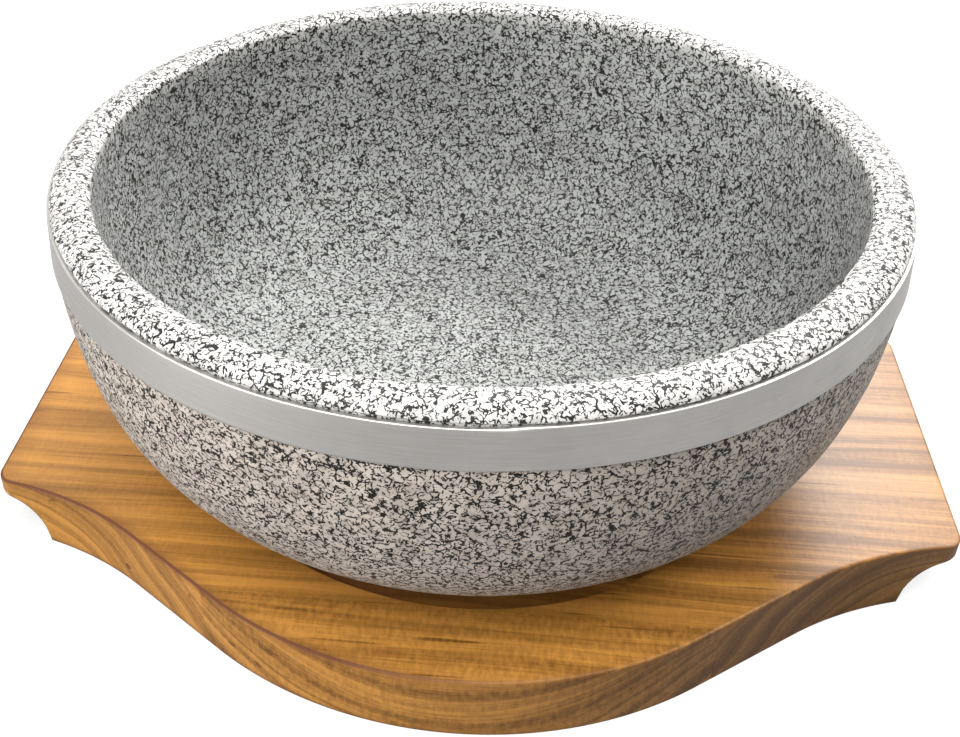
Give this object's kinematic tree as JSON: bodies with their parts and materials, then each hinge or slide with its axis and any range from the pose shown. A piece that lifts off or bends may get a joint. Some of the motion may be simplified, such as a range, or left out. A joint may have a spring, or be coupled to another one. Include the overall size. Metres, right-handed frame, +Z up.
{
  "type": "dolsot",
  "caption": "Thick turned stone bowl with a metal hoop round its rim, seated in the round recess of a glued wooden tray with bulged sides and coved finger grips.",
  "frame": {"origin": "centre of the tray's underside; the bowl stands 1.6 mm towards -X of it", "axes": "+X along the tray towards its right end, +Y towards the back, +Z up, parallel to the axis of the bowl"},
  "size_m": [0.238, 0.201, 0.095],
  "materials": {
    "granite": "honed",
    "hoop_metal": "satin brushed",
    "wood": "planed and oiled"
  },
  "bodies": {
    "root": {"stone_bowl": "granite", "rim_hoop": "hoop_metal", "board_front": "wood", "board_mid_front": "wood", "board_middle": "wood", "board_mid_back": "wood", "board_back": "wood"}
  },
  "joints": []
}
